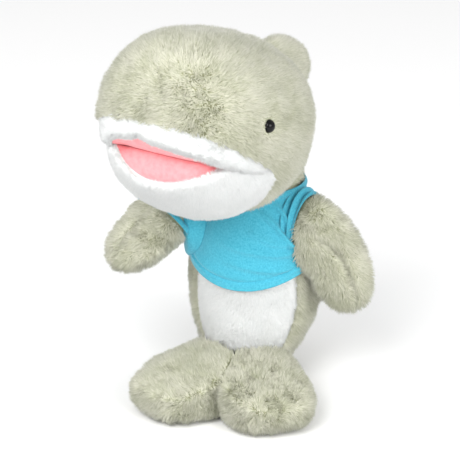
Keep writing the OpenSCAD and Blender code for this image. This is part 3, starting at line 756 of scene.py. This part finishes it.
def fold(across, up, points, height, width):
    """Height of one soft fold: a ridge of that half width along a line of [across, up] points,
    rising and fading along its length."""
    points = np.asarray(points, float)
    steps = np.linspace(0, len(points) - 1, 40)
    line = np.stack([np.interp(steps, np.arange(len(points)), points[:, k]) for k in (0, 1)], -1)
    gap = np.hypot(across[..., None] - line[:, 0], up[..., None] - line[:, 1])
    nearest = gap.argmin(-1)
    strength = np.sin(np.pi * (nearest + 0.5) / len(steps)) ** 0.6
    return height * strength * np.exp(-(gap.min(-1) / width) ** 2)


jersey_cloth = jersey("blue_cotton_jersey", 1)
ribbed_cloth = jersey("blue_rib_knit", 2)
# Folds as height and half width, then points of [mm round from the middle front, mm above the hem]
FRONT_FOLDS = [
    (4.6, 1.8, [[22, 60], [31, 52], [36, 42], [44, 30], [52, 24]]),
    (3.8, 1.9, [[14, 54], [25, 45], [36, 30], [50, 16]]),
    (3.2, 2.0, [[40, 58], [38, 50], [44, 40]]), (2.2, 2.4, [[50, 13], [22, 14], [-8, 19]]),
    (2.2, 2.6, [[52, 22], [24, 25], [-14, 32]]), (1.3, 3.6, [[-50, 17], [-22, 12], [12, 9]]),
    (2.4, 2.4, [[-56, 48], [-47, 34], [-50, 16]]), (2.0, 2.4, [[6, 42], [22, 33], [40, 29]])]
BACK_FOLDS = [
    (1.4, 2.8, [[54, 44], [46, 32], [48, 18]]), (1.4, 2.8, [[-54, 44], [-46, 32], [-48, 18]]),
    (0.9, 4.5, [[40, 22], [0, 18], [-40, 24]]), (0.8, 5.0, [[-30, 34], [0, 30], [34, 36]])]
PANEL_AROUND, PANEL_UP = 150, 76


def neckline(angle):
    """Height of the shirt's upper edge, with a bell-shaped dip under the chin."""
    from_chin = (angle - CHIN_ANGLE + 180) % 360 - 180
    return SHIRT_TOP - NECKLINE_DIP * np.exp(-(from_chin / 28) ** 2)


for name, middle, folds in (("shirt_front", 0, FRONT_FOLDS), ("shirt_back", 180, BACK_FOLDS)):
    angle = middle + np.linspace(-90, 90, PANEL_AROUND)[None, :] + np.zeros((PANEL_UP, 1))
    share = np.linspace(0, 1, PANEL_UP)[:, None] + 0 * angle
    low = HEM_Z + HEM_RISE * np.sin(np.radians(angle)) ** 2
    z = low + (neckline(angle) - low) * share
    across = np.radians(angle - middle) * 40
    up = z - HEM_Z
    lift = sum(fold(across, up, points, height, width) for height, width, points in folds)
    above_edge = z - low
    hem = (0.5 * np.clip((HEM_TURNED - above_edge) / 0.6, 0, 1)
           - 1.0 * np.exp(-((above_edge - HEM_TURNED - 0.5) / 0.9) ** 2))
    flare = 1.2 * np.exp(-(above_edge / 7) ** 2)
    outer = body_at(angle, z, -(SHIRT_EASE + CLOTH_T + lift + hem + flare))
    outer = outer + 0.35 * noise(outer, 13, 81, 3) * np.clip(above_edge / 10, 0, 1)[..., None]
    uv = np.stack([across * MM, up * MM], -1)
    panel = cloth_sheet(f"{name}_jersey", outer, CLOTH_T, uv, jersey_cloth)
    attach(panel, "torso")
    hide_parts(name)

COLLAR_BELOW, COLLAR_ABOVE = 1.5, 3
angle = np.linspace(0, 360, 181)[None, :] + np.zeros((13, 1))
share = np.linspace(0, 1, 13)[:, None] + 0 * angle
z = neckline(angle) - COLLAR_BELOW + (COLLAR_BELOW + COLLAR_ABOVE) * share
outer = body_at(angle, z, -(SHIRT_EASE + CLOTH_T + 0.4 + 0.9 * np.sin(np.pi * share)))
uv = np.stack([np.radians(angle) * 0.034, z * MM], -1)
collar = cloth_sheet("shirt_collar_rib", outer, CLOTH_T, uv, ribbed_cloth)
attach(collar, "torso")
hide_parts("shirt_collar")

# Each sleeve runs from the armhole in the shirt's side to a ring round its fin.
# Height of each armhole's middle and its half height. The right one is lower, clear of the chin
ARMHOLE = {"left": (112, 27), "right": (107, 22)}
ARMHOLE_Y, ARMHOLE_DEEP = -9, 21
SLEEVE_AROUND, SLEEVE_ALONG = 120, 40
# Both sleeves have one cut, this long in metres. The left one lies in deeper folds than the right
SLEEVE_CUT = 0.0265
SLEEVE_FOLDS = {"left": 2.4, "right": 0.9}
for side in ("left", "right"):
    out = 1 if side == "left" else -1
    turn = np.linspace(0, 360, SLEEVE_AROUND + 1)
    t = np.radians(turn)
    edge, facing = sleeve_edge(side, turn)
    y = ARMHOLE_Y + ARMHOLE_DEEP * np.sin(t)
    z = ARMHOLE[side][0] - ARMHOLE[side][1] * np.cos(t)
    row = spline(BODY_ROWS, z)
    x = (row[:, 1] + 2) * np.sqrt(np.clip(1 - ((y - row[:, 3]) / (row[:, 2] + 2)) ** 2, 0, 1))
    armhole = np.stack([out * x, y, z], -1)
    outer = bridge(armhole, unit(np.array([out * 1.0, -0.2, 0.1])), edge, facing, SLEEVE_ALONG)
    k = np.linspace(0, 1, SLEEVE_ALONG)[:, None]
    ripple = SLEEVE_FOLDS[side] * np.sin(15 * k + 1.6 * np.sin(t) + 0.9 * np.cos(2 * t)) * np.sin(np.pi * k)
    ripple = ripple + 0.5 * np.clip((k - 0.8) / 0.05, 0, 1)
    outer = outer + unit(outer - outer.mean(1, keepdims=True)) * ripple[..., None]
    uv = np.stack([t * 0.021 + 0 * k, k * SLEEVE_CUT + 0 * t], -1)
    sleeve = cloth_sheet(f"{side}_sleeve_jersey", outer, CLOTH_T, uv, jersey_cloth)
    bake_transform(sleeve)
    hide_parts(f"{side}_sleeve")

# ---------------------------------------------------------------------------
# The studio: a flat sheet of pale paper, a broad soft light from the front, a
# second one from the toy's left, and an even bright surround.
# ---------------------------------------------------------------------------

paper = shaded("pale_paper", {"Base Color": linear("#fafafa"), "Roughness": 1.0})
# Half width of the paper, in mm
FLOOR_HALF = 6000
floor = make_mesh("floor", np.array([[-1, -1, 0], [1, -1, 0], [1, 1, 0], [-1, 1, 0]]) * FLOOR_HALF,
                  np.array([[0, 1, 2], [0, 2, 3]]), [paper])

surround = bpy.data.worlds.new("studio")
surround.use_nodes = True
surround.node_tree.nodes["Background"].inputs["Color"].default_value = (1, 1, 1, 1)
surround.node_tree.nodes["Background"].inputs["Strength"].default_value = 0.74
bpy.context.scene.world = surround
bpy.context.scene.view_settings.view_transform = "Standard"

LOOKED_AT = Vector((0, -0.050, 0.120))
for name, place, size, power in (("key", (-0.35, -1.4, 1.3), 1.2, 25), ("fill", (1.3, -0.9, 0.8), 1.0, 15)):
    lamp = bpy.data.lights.new(name, "AREA")
    lamp.shape, lamp.size, lamp.energy = "DISK", size, power
    light = bpy.data.objects.new(name, lamp)
    light.location = Vector(place)
    light.rotation_euler = (Vector(place) - LOOKED_AT).to_track_quat("Z", "Y").to_euler()
    bpy.context.scene.collection.objects.link(light)

# The camera stands 1.5 m off, a little to the toy's left and above it
AZIMUTH, ELEVATION, DISTANCE = math.radians(16), math.radians(22), 1.5
toward = Vector((math.sin(AZIMUTH) * math.cos(ELEVATION),
                 -math.cos(AZIMUTH) * math.cos(ELEVATION), math.sin(ELEVATION)))
right = Vector((math.cos(AZIMUTH), math.sin(AZIMUTH), 0))
above = toward.cross(right)
lens = bpy.data.cameras.new("camera")
lens.sensor_width, lens.lens = 36, 177.8
camera = bpy.data.objects.new("camera", lens)
camera.location = LOOKED_AT + toward * DISTANCE - right * 0.0037 + above * 0.002
camera.rotation_euler = toward.to_track_quat("Z", "Y").to_euler()
bpy.context.scene.collection.objects.link(camera)
bpy.context.scene.camera = camera
